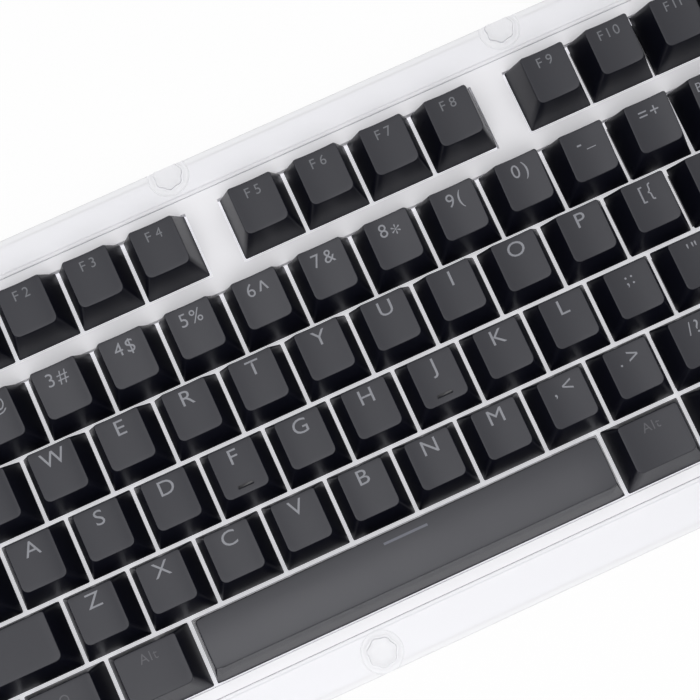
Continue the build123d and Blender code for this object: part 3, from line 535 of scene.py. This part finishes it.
def shapedBy(tree, points, inputs):
    # a plain mesh of what the tree makes at these points
    base = bpy.data.meshes.new("points")
    base.from_pydata([tuple(p) for p in points], [], [])
    holder = bpy.data.objects.new("holder", base)
    bpy.context.scene.collection.objects.link(holder)
    modifier = holder.modifiers.new("shape", "NODES")
    modifier.node_group = tree
    for socket in tree.interface.items_tree:
        if socket.in_out == "INPUT" and socket.name in inputs:
            modifier[socket.identifier] = inputs[socket.name]
    shown = holder.evaluated_get(bpy.context.evaluated_depsgraph_get())
    mesh = bpy.data.meshes.new_from_object(shown)
    bpy.data.objects.remove(holder)
    bpy.data.meshes.remove(base)
    return mesh


def gathered(name, meshes, body, sharpAngle=radians(40)):
    # one piece of several meshes, each with its own finish; it rides on a body
    bm = bmesh.new()
    used = []
    for mesh, finishName in meshes:
        material = materials[finishName]
        if material not in used:
            used.append(material)
        before = len(bm.faces)
        bm.from_mesh(mesh)
        bm.faces.ensure_lookup_table()
        for face in bm.faces[before:]:
            face.material_index = used.index(material)
            face.smooth = True
        bpy.data.meshes.remove(mesh)
    merged = meshFrom(bm, name)
    merged.set_sharp_from_angle(angle=sharpAngle)
    for material in used:
        merged.materials.append(material)
    piece = bpy.data.objects.new(name, merged)
    bpy.context.scene.collection.objects.link(piece)
    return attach(piece, body)


capTree = buildCapTree()

# legends: heights and places in millimetres, gaps and thin (which narrows strokes) by the font's size
legendPlan = {
    "letters": {"height": 3.9, "gap": 0.14, "rise": 0.36, "stretch": 1.14, "finish": "legend"},
    "digits": {"height": 3.45, "gap": 0.14, "rise": 0.0, "finish": "legend"},
    "pairs": {"height": 3.45, "gap": 0.2, "rise": 0.0, "finish": "legend"},
    "points": {"height": 3.45, "gap": 0.42, "rise": 0.0, "finish": "legend"},
    "words": {"height": 2.5, "gap": 0.14, "rise": 0.5, "finish": "faintLegend"},
    "functions": {"height": 2.6, "gap": 0.35, "rise": 0.4, "finish": "functionLegend"},
    "rowShift": {"high": 4.45, "upper": 4.6, "home": 4.5, "lower": 4.7, "function": 4.6},
    "signDrop": 0.6,  # of arrows and rings
    "leftMargin": 1.4,
    # the strip on the space bar is a painted highlight of a crease in its top
    "spaceBar": (12.4, 0.66, 1.5, 6.1),  # length, width and place of the bar on the space bar
    "thin": -0.002, "lift": 0.03,
    "subdivisions": 2, "longestEdge": 0.9,  # longer edges are cut, so that a legend follows the dish
}
plainLegends = {
    "grave": "`~", "1": "1!", "2": "2@", "3": "3#", "4": "4$", "5": "5%", "6": "6^", "7": "7&", "8": "8*",
    "9": "9(", "0": "0)", "minus": "-_", "equals": "=+", "left_bracket": "[{", "right_bracket": "]}",
    "backslash": "\\|", "semicolon": ";:", "quote": "'\"", "comma": ",<", "period": ".>", "slash": "/?",
    "num_plus": "+", "divide": "/", "multiply": "*", "subtract": "-", "num_point": ".",
}
wordLegends = {
    "left_ctrl": "Ctrl", "left_alt": "Alt", "right_alt": "Alt", "menu": "Menu", "right_ctrl": "Ctrl",
    "left_shift": "Shift", "right_shift": "Shift", "caps_lock": "Caps", "enter": "Enter", "tab": "Tab",
    "backspace": "Back", "escape": "Esc", "print": "Prt", "scroll_lock": "Scr", "pause": "Pse",
    "insert": "Ins", "home": "Home", "page_up": "PgUp", "delete": "Del", "end": "End", "page_down": "PgDn",
    "num_lock": "Num", "num_enter": "Ent",
}
arrowLegends = {"up": 90, "left": 180, "down": 270, "right": 0}
# size and rise of the small signs
glyphScale = {"*": (1.2, -0.42), "^": (1.3, -0.28), "<": (1.15, -0.05), ">": (1.15, -0.05)}
leftSet = {"left_shift", "caps_lock", "tab", "right_shift", "enter", "backspace"}
glyphs = {}


def glyph(character):
    # flat mesh of one character, made once
    if character not in glyphs:
        outline = bpy.data.curves.new("glyph", "FONT")
        outline.body, outline.size, outline.offset = character, 1.0, legendPlan["thin"]
        outline.resolution_u = 4
        holder = bpy.data.objects.new("glyph", outline)
        bpy.context.scene.collection.objects.link(holder)
        shown = holder.evaluated_get(bpy.context.evaluated_depsgraph_get())
        glyphs[character] = bpy.data.meshes.new_from_object(shown)
        bpy.data.objects.remove(holder)
    return glyphs[character]


def span(mesh, axis):
    values = [v.co[axis] for v in mesh.vertices]
    return min(values), max(values)


capitalHeight = span(glyph("H"), 1)[1]


def legendMesh(text, height, gap):
    # the characters side by side, centred, and their whole width
    bm = bmesh.new()
    at = 0.0
    scale = height / capitalHeight
    for character in text:
        mesh = glyph(character)
        size, rise = glyphScale.get(character, (1.0, 0.0))
        low, high = (size * end for end in span(mesh, 0))
        start = len(bm.verts)
        bm.from_mesh(mesh)
        bm.verts.ensure_lookup_table()
        for v in bm.verts[start:]:
            v.co = Vector((v.co.x * size + at - low, v.co.y * size + rise, 0))
        at += high - low + gap
    total = at - gap
    for v in bm.verts:
        v.co = Vector(((v.co.x - total / 2) * scale, (v.co.y - capitalHeight / 2) * scale, 0))
    return bm, total * scale


def laidOn(bm, key, x, y):
    # bends a flat outline over a cap's top
    sizes = capSizes(key)
    bmesh.ops.triangulate(bm, faces=bm.faces)
    for _ in range(legendPlan["subdivisions"]):
        long = [e for e in bm.edges if e.calc_length() > legendPlan["longestEdge"]]
        bmesh.ops.subdivide_edges(bm, edges=long, cuts=1)
        bmesh.ops.triangulate(bm, faces=bm.faces)
    for v in bm.verts:
        px, py = v.co.x + x, v.co.y + y
        height = topHeight(sizes, px, py) + legendPlan["lift"]
        v.co = key["place"] + Vector((px, py, height)) * mm
    for face in bm.faces:
        if face.normal.z < 0:
            face.normal_flip()
    return meshFrom(bm, "legend")


def barMesh(length, width):
    bm = bmesh.new()
    steps = 12
    rows = [[bm.verts.new(((i / steps - 0.5) * length, side * width / 2, 0)) for i in range(steps + 1)]
            for side in (-1, 1)]
    for i in range(steps):
        bm.faces.new((rows[0][i], rows[0][i + 1], rows[1][i + 1], rows[1][i]))
    return bm


def arrowMesh(turn):
    bm = bmesh.new()
    outline = [(-1.5, -0.2), (0.75, -0.2), (0.15, -0.8), (0.45, -1.08), (1.5, 0), (0.45, 1.08), (0.15, 0.8),
               (0.75, 0.2), (-1.5, 0.2)]
    turnX, turnY = cos(radians(turn)), sin(radians(turn))
    bm.faces.new([bm.verts.new((x * turnX - y * turnY, x * turnY + y * turnX, 0)) for x, y in outline])
    return bm


def ringMesh():
    # a plain ring on the system keys
    bm = bmesh.new()
    steps, innerRadius, outerRadius = 28, 0.95, 1.3
    angles = [2 * pi * i / steps for i in range(steps)]
    loops = [[bm.verts.new((radius * cos(angle), radius * sin(angle), 0)) for angle in angles]
             for radius in (innerRadius, outerRadius)]
    for i in range(steps):
        j = (i + 1) % steps
        bm.faces.new((loops[0][i], loops[1][i], loops[1][j], loops[0][j]))
    return bm


def textOf(name):
    # what a key says, and the kind of legend it is
    if name in ("comma", "period"):
        return plainLegends[name], "points"
    if name in plainLegends:
        return plainLegends[name], "pairs"
    if name in wordLegends:
        return wordLegends[name], "words"
    if name.startswith("num_"):
        return name[4:], "digits"
    return name.upper(), "letters" if len(name) == 1 else "functions"


def legendOf(name, key):
    # the key's legend and its finish
    if name == "space":
        # on the space bar: a lighter strip, a painted highlight of a crease
        length, width, x, y = legendPlan["spaceBar"]
        return laidOn(barMesh(length, width), key, x, y), "barLegend"
    shift = legendPlan["rowShift"][key["row"]] + (key["depth"] - 1) * keyPlan["pitch"] / 2
    if name in arrowLegends:
        return laidOn(arrowMesh(arrowLegends[name]), key, 0, shift - legendPlan["signDrop"]), "legend"
    if name in ("left_super", "right_super"):
        return laidOn(ringMesh(), key, 0, shift - legendPlan["signDrop"]), "faintLegend"
    text, kind = textOf(name)
    look = legendPlan[kind]
    bm, total = legendMesh(text, look["height"], look["gap"])
    bmesh.ops.scale(bm, vec=(look.get("stretch", 1), 1, 1), verts=bm.verts)
    x, finishName = 0.0, look["finish"]
    if name in leftSet:
        x = total / 2 - capSizes(key)["Top X"] + legendPlan["leftMargin"]
        finishName = "legend"
    return laidOn(bm, key, x, shift + look["rise"]), finishName


homingPlan = {"length": 4.2, "width": 0.42, "height": 0.6, "fromFront": 1.9, "sunk": 0.02}


def homingBar(key):
    # a low rounded rib near the front of the top
    sizes = capSizes(key)
    half, steps, around = homingPlan["length"] / 2, 10, 6
    y = sizes["Top Middle"] - sizes["Top Y"] + homingPlan["fromFront"]
    bm = bmesh.new()
    rows = []
    for i in range(steps + 1):
        x = -half + 2 * half * i / steps
        row = []
        for j in range(around + 1):
            angle = pi * j / around
            dy, dz = -cos(angle) * homingPlan["width"] / 2, sin(angle) * homingPlan["height"]
            base = topHeight(sizes, x, y + dy)
            row.append(bm.verts.new(key["place"] + Vector((x, y + dy, base + dz - homingPlan["sunk"])) * mm))
        rows.append(row)
    for i in range(steps):
        for j in range(around):
            bm.faces.new((rows[i][j], rows[i + 1][j], rows[i + 1][j + 1], rows[i][j + 1]))
        bm.faces.new((rows[i][around], rows[i + 1][around], rows[i + 1][0], rows[i][0]))
    bm.faces.new(rows[0])
    bm.faces.new(rows[-1][::-1])
    bmesh.ops.recalc_face_normals(bm, faces=bm.faces)
    return meshFrom(bm, "homingBar")


stemReach = 4.85 * mm  # from a post's middle, past the corners of the stem
# keys this long, in pitches, have a post at each side of the middle one
stabilisers = {"short": {"from": 2, "offset": 11.94 * mm}, "long": {"from": 6, "offset": 50.0 * mm}}


def postPlaces(key):
    longest = max(key["width"], key["depth"])
    if longest < stabilisers["short"]["from"]:
        return [key["place"]]
    offset = stabilisers["long" if longest > stabilisers["long"]["from"] else "short"]["offset"]
    step = Vector((offset, 0, 0)) if key["width"] >= key["depth"] else Vector((0, offset, 0))
    return [key["place"], key["place"] + step, key["place"] - step]


def partNear(node, places):
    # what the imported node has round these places: posts and stems without the outer shell, or springs
    bm = bmesh.new()
    bm.from_mesh(frame["nodes"][node].data)
    bmesh.ops.remove_doubles(bm, verts=bm.verts, dist=1e-7)
    far = [v for v in bm.verts if all((v.co.xy - p.xy).length >= stemReach for p in places)]
    bmesh.ops.delete(bm, geom=far, context="VERTS")
    loose = [v for v in bm.verts if not v.link_faces]
    bmesh.ops.delete(bm, geom=loose, context="VERTS")
    return meshFrom(bm, "stems")


def nameFor(start, body):
    return start + body[body.index("_"):]


membersOf = {}
for name, key in keys.items():
    membersOf.setdefault(key["body"], []).append(name)
for body, names in sorted(membersOf.items()):
    parts = []
    kinds = {}
    for name in names:
        key = keys[name]
        kinds.setdefault((key["width"], key["depth"], key["row"]), []).append(name)
    for alike in kinds.values():
        finishName = "spaceKey" if alike[0] == "space" else "keycap"
        inputs = {**capSizes(keys[alike[0]]), "Material": materials[finishName]}
        parts.append((shapedBy(capTree, [keys[name]["place"] for name in alike], inputs), finishName))
    for name in names:
        parts.append(legendOf(name, keys[name]))
        if name in ("f", "j"):
            parts.append((homingBar(keys[name]), "keycap"))
    places = [p for name in names for p in postPlaces(keys[name])]
    parts.append((partNear(body, places), "switchStem"))
    piece = gathered(nameFor("caps", body), parts, body)
    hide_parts(body)

# springs, one piece for each body's keys, held by the case; the share of their length left at full travel is
# worked out, but they don't shorten
springLow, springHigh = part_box("switch_springs")
springSlack = 0.05 * mm
joints = record["behaviour"]["joints"]
travels = {joint["name"]: joint["range_m"][1] for joint in joints if "range_m" in joint}
for body, names in sorted(membersOf.items()):
    coils = partNear("switch_springs", [keys[name]["place"] for name in names])
    springs = gathered(nameFor("springs", body), [(coils, "brightMetal")], "case")
    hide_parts("switch_springs")
    share = 1 - (travels[body + "_press"] + springSlack) / (springHigh.z - springLow.z)
    body + "_press"
    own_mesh(springs)
print("springs made")


# press studs in the clear rim
studPlan = {
    "columns": 5, "pitch": 100.0, "inset": {"front": 5.5, "rear": 2.3},  # from the rim's edges
    "ringRadius": 5.9, "discRadius": 3.9, "lobes": 7.0, "lobeDepth": 0.05, "turns": 96}


def buildStudTree():
    # a lathe: the profile's points go round the stud, and the disc's edge is scalloped
    graph, size = shapeTree("pressStud", ("Ring Radius", "Disc Radius", "Lobes", "Lobe Depth"))
    # each row: radius, as a share of the disc's or from the first ring row on of the ring's, and height
    profile = [(0.0, 0.5), (0.4, 0.5), (0.8, 0.52), (0.88, 0.7), (0.95, 0.72), (0.985, 0.6), (1.0, 0.16),
               (1.04, 0.12), (1.13, 0.14), (1.17, 0.02), (0.92, 0.02), (0.94, 0.12), (0.965, 0.13),
               (0.985, 0.05), (1.0, -0.3), (0.0, -0.3)]
    firstRingRow = 10
    turns, rows = studPlan["turns"], len(profile)
    grid = graph.node("GeometryNodeMeshGrid", {}, {
        "Size X": 1.0, "Size Y": 1.0, "Vertices X": turns + 1, "Vertices Y": rows})
    place = graph.node("ShaderNodeSeparateXYZ", {}, {0: graph.node("GeometryNodeInputPosition")})
    angle = (place.out("X") + 0.5) * (2 * pi)
    row = graph.math("ROUND", (place.out("Y") + 0.5) * (rows - 1))
    radius, height = 0.0, 0.0
    for index, (share, level) in enumerate(profile):
        here = graph.node("ShaderNodeMath", {"operation": "COMPARE"}, {0: row, 1: float(index), 2: 0.1})
        reach = (size["Disc Radius"] if index < firstRingRow else size["Ring Radius"]) * share
        radius = here * reach + radius
        height = here * level + height
    scallop = graph.math("COSINE", angle * size["Lobes"])
    onDisc = graph.math("LESS_THAN", row, firstRingRow - 0.5)
    radius = radius * (1.0 - onDisc * scallop * size["Lobe Depth"])
    x, y = radius * graph.math("COSINE", angle) * -mm, radius * graph.math("SINE", angle) * mm
    where = graph.node("ShaderNodeCombineXYZ", {}, {0: x, 1: y, 2: height * mm})
    return spreadShape(graph, size, grid, where)


def cutAt(mesh, front, rear):
    # the rim's front and rear edges cut through the studs
    bm = bmesh.new()
    bm.from_mesh(mesh)
    for y, side in ((front, -1), (rear, 1)):
        cut = bmesh.ops.bisect_plane(
            bm, geom=bm.verts[:] + bm.edges[:] + bm.faces[:], plane_co=(0, y, 0), plane_no=(0, side, 0),
            clear_outer=True)
        edges = [part for part in cut["geom_cut"] if isinstance(part, bmesh.types.BMEdge)]
        bmesh.ops.holes_fill(bm, edges=edges, sides=0)
    bpy.data.meshes.remove(mesh)
    return meshFrom(bm, "studs")


rimLow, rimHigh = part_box("clear_rim")
rimMiddle = (rimLow.x + rimHigh.x) / 2
studXs = [rimMiddle + (i - (studPlan["columns"] - 1) / 2) * studPlan["pitch"] * mm
          for i in range(studPlan["columns"])]
studYs = rimLow.y + studPlan["inset"]["front"] * mm, rimHigh.y - studPlan["inset"]["rear"] * mm
studPlaces = [Vector((x, y, skirtLevel)) for x in studXs for y in studYs]
studMesh = shapedBy(buildStudTree(), studPlaces, {
    "Ring Radius": studPlan["ringRadius"], "Disc Radius": studPlan["discRadius"], "Lobes": studPlan["lobes"],
    "Lobe Depth": studPlan["lobeDepth"], "Material": materials["clearRim"]})
cutInset = 0.05 * mm  # so that a cut face lies inside the rim's edge
cutStuds = cutAt(studMesh, rimLow.y + cutInset, rimHigh.y - cutInset)
studs = gathered("press_studs", [(cutStuds, "clearRim")], "case")
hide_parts("rim_studs")
print("studs made:", len(studPlaces))

# the clear rim: one section drawn round the key field
rimPlan = {
    "step": {"front": 3.0, "rear": 3.9, "side": 3.5},  # from the keys to the rim's inner edge
    "thickness": 1.15, "lip": 5.9, "lipWall": 1.2,
    "corner": 8.0, "stepCorner": 0.3, "cornerSteps": 10,
    "soft": 0.15,  # chamfer of the lip's lower edges
    # the bead along the inner edge: distance outward and height
    "bead": [(0.0, -0.1), (0.02, 0.22), (0.12, 0.36), (0.3, 0.42), (0.72, 0.42), (0.94, 0.36), (1.12, 0.2),
             (1.26, 0.06), (1.42, 0.0), (1.8, 0.0)],
    # the outer edge: distance inward and height
    "edge": [(0.7, 0.0), (0.22, -0.02), (0.06, -0.1), (0.0, -0.28)],
}


def rimStations():
    # round the rim's corners: the centre of the inner edge's rounding, a point of the outer edge, and outward
    field = fieldCorner.xy, fieldCorner.xy + fieldSize * pitch
    step, inset = rimPlan["step"], rimPlan["stepCorner"]
    innerLow = field[0] - Vector((step["side"] - inset, step["front"] - inset)) * mm
    innerHigh = field[1] + Vector((step["side"] - inset, step["rear"] - inset)) * mm
    rounding = rimPlan["corner"] * mm
    outerLow, outerHigh = rimLow.xy + Vector((rounding, rounding)), rimHigh.xy - Vector((rounding, rounding))
    stations = []
    for x, y, start in ((0, 0, 180), (1, 0, 270), (1, 1, 0), (0, 1, 90)):
        inner = Vector(((innerLow, innerHigh)[x].x, (innerLow, innerHigh)[y].y))
        outer = Vector(((outerLow, outerHigh)[x].x, (outerLow, outerHigh)[y].y))
        for i in range(rimPlan["cornerSteps"] + 1):
            angle = radians(start + 90 * i / rimPlan["cornerSteps"])
            away = Vector((cos(angle), sin(angle)))
            stations.append((inner, outer + away * rounding, away))
    return stations


def rimMesh():
    top, base, bottom = (skirtLevel - depth * mm for depth in (0, rimPlan["thickness"], rimPlan["lip"]))
    wall, soft = rimPlan["lipWall"] * mm, rimPlan["soft"] * mm
    bm = bmesh.new()
    loops = []
    for inner, outer, away in rimStations():
        start = inner + away * rimPlan["stepCorner"] * mm
        section = [(start, base)]
        section += [(start + away * reach * mm, top + height * mm) for reach, height in rimPlan["bead"]]
        section += [(outer - away * reach * mm, top + height * mm) for reach, height in rimPlan["edge"]]
        section += [(outer, bottom + soft), (outer - away * soft, bottom)]
        section += [(outer - away * (wall - soft), bottom), (outer - away * wall, bottom + soft)]
        section.append((outer - away * wall, base))
        loops.append([bm.verts.new((*point, z)) for point, z in section])
    for i, loop in enumerate(loops):
        after = loops[(i + 1) % len(loops)]
        for j in range(len(loop)):
            k = (j + 1) % len(loop)
            bm.faces.new((loop[j], loop[k], after[k], after[j]))
    bmesh.ops.remove_doubles(bm, verts=bm.verts, dist=1e-6)
    bmesh.ops.recalc_face_normals(bm, faces=bm.faces)
    return meshFrom(bm, "rim")


rim = gathered("clear_tray_rim", [(rimMesh(), "clearRim")], "case", sharpAngle=radians(50))
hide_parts("clear_rim")
print("rim made")

# table, light and camera
floorPlan = {"half": 3.0, "grey": (0.86, 0.86, 0.86, 1), "whiteShare": 0.96}


def floorMaterial():
    # seen or mirrored it goes towards white, and it keeps the shadow; it shows only from above
    material, graph = newMaterial("paleTable")
    matt = graph.node("ShaderNodeBsdfDiffuse", {}, {"Color": floorPlan["grey"]})
    white = graph.node("ShaderNodeEmission", {}, {"Color": (1, 1, 1, 1), "Strength": 1.0})
    share = seenDirectly(graph) * floorPlan["whiteShare"]
    top = graph.node("ShaderNodeMixShader", {}, {0: share, 1: matt, 2: white})
    below = graph.node("ShaderNodeNewGeometry").out("Backfacing")
    nothing = graph.node("ShaderNodeBsdfTransparent")
    finish(graph, graph.node("ShaderNodeMixShader", {}, {0: below, 1: top, 2: nothing}))
    return material


half = floorPlan["half"]
floorMesh = bpy.data.meshes.new("table")
floorCorners = [(-half, -half, 0), (half, -half, 0), (half, half, 0), (-half, half, 0)]
floorMesh.from_pydata(floorCorners, [], [(0, 1, 2, 3)])
floorMesh.materials.append(floorMaterial())
floor = bpy.data.objects.new("table", floorMesh)
bpy.context.scene.collection.objects.link(floor)

# metres and watts
lampPlan = {
    "overhead": {"size": 2.4, "place": (0.05, 0.12, 1.35), "power": 12.6},
    "key": {"size": 0.75, "place": (-0.24, -0.33, 0.75), "power": 3.0},
}
for name, plan in lampPlan.items():
    lamp = bpy.data.lights.new(name, "AREA")
    lamp.shape, lamp.size, lamp.energy = "SQUARE", plan["size"], plan["power"]
    holder = bpy.data.objects.new(name, lamp)
    holder.location = plan["place"]
    bpy.context.scene.collection.objects.link(holder)

# the sky lights matt surfaces softly, and shows white where it is seen or mirrored
skyPlan = {"fill": 0.28, "seen": 1.0}
world = bpy.data.worlds.new("studio")
bpy.context.scene.world = world
world.use_nodes = True
world.node_tree.nodes.clear()
sky = Graph(world.node_tree)
strength = sky.between(skyPlan["fill"], skyPlan["seen"], seenDirectly(sky))
background = sky.node("ShaderNodeBackground", {}, {"Color": (1, 1, 1, 1), "Strength": strength})
sky.node("ShaderNodeOutputWorld", {}, {"Surface": background})

# millimetres from the front left corner of the key field, at the level of the skirts
cameraPlan = {
    "place": (120.974, 20.064, 386.773), "aim": (139.723, 66.330, 0.0), "roll": 24.676, "lens": 74.603}
eye = fieldCorner + Vector(cameraPlan["place"]) * mm
forward = (Vector(cameraPlan["aim"]) - Vector(cameraPlan["place"])).normalized()
levelRight = forward.cross(Vector((0, 1, 0))).normalized()
levelUp = levelRight.cross(forward)
roll = radians(cameraPlan["roll"])
up = levelUp * cos(roll) + levelRight * sin(roll)
right = levelRight * cos(roll) - levelUp * sin(roll)
optics = bpy.data.cameras.new("camera")
optics.lens, optics.sensor_width, optics.clip_start = cameraPlan["lens"], 36.0, 0.01
camera = bpy.data.objects.new("camera", optics)
turned = Matrix((right, up, -forward)).transposed()
camera.matrix_world = Matrix.Translation(eye) @ turned.to_4x4()
bpy.context.scene.collection.objects.link(camera)
bpy.context.scene.camera = camera
bpy.context.scene.view_settings.view_transform = "Standard"
print("table, light and camera set")
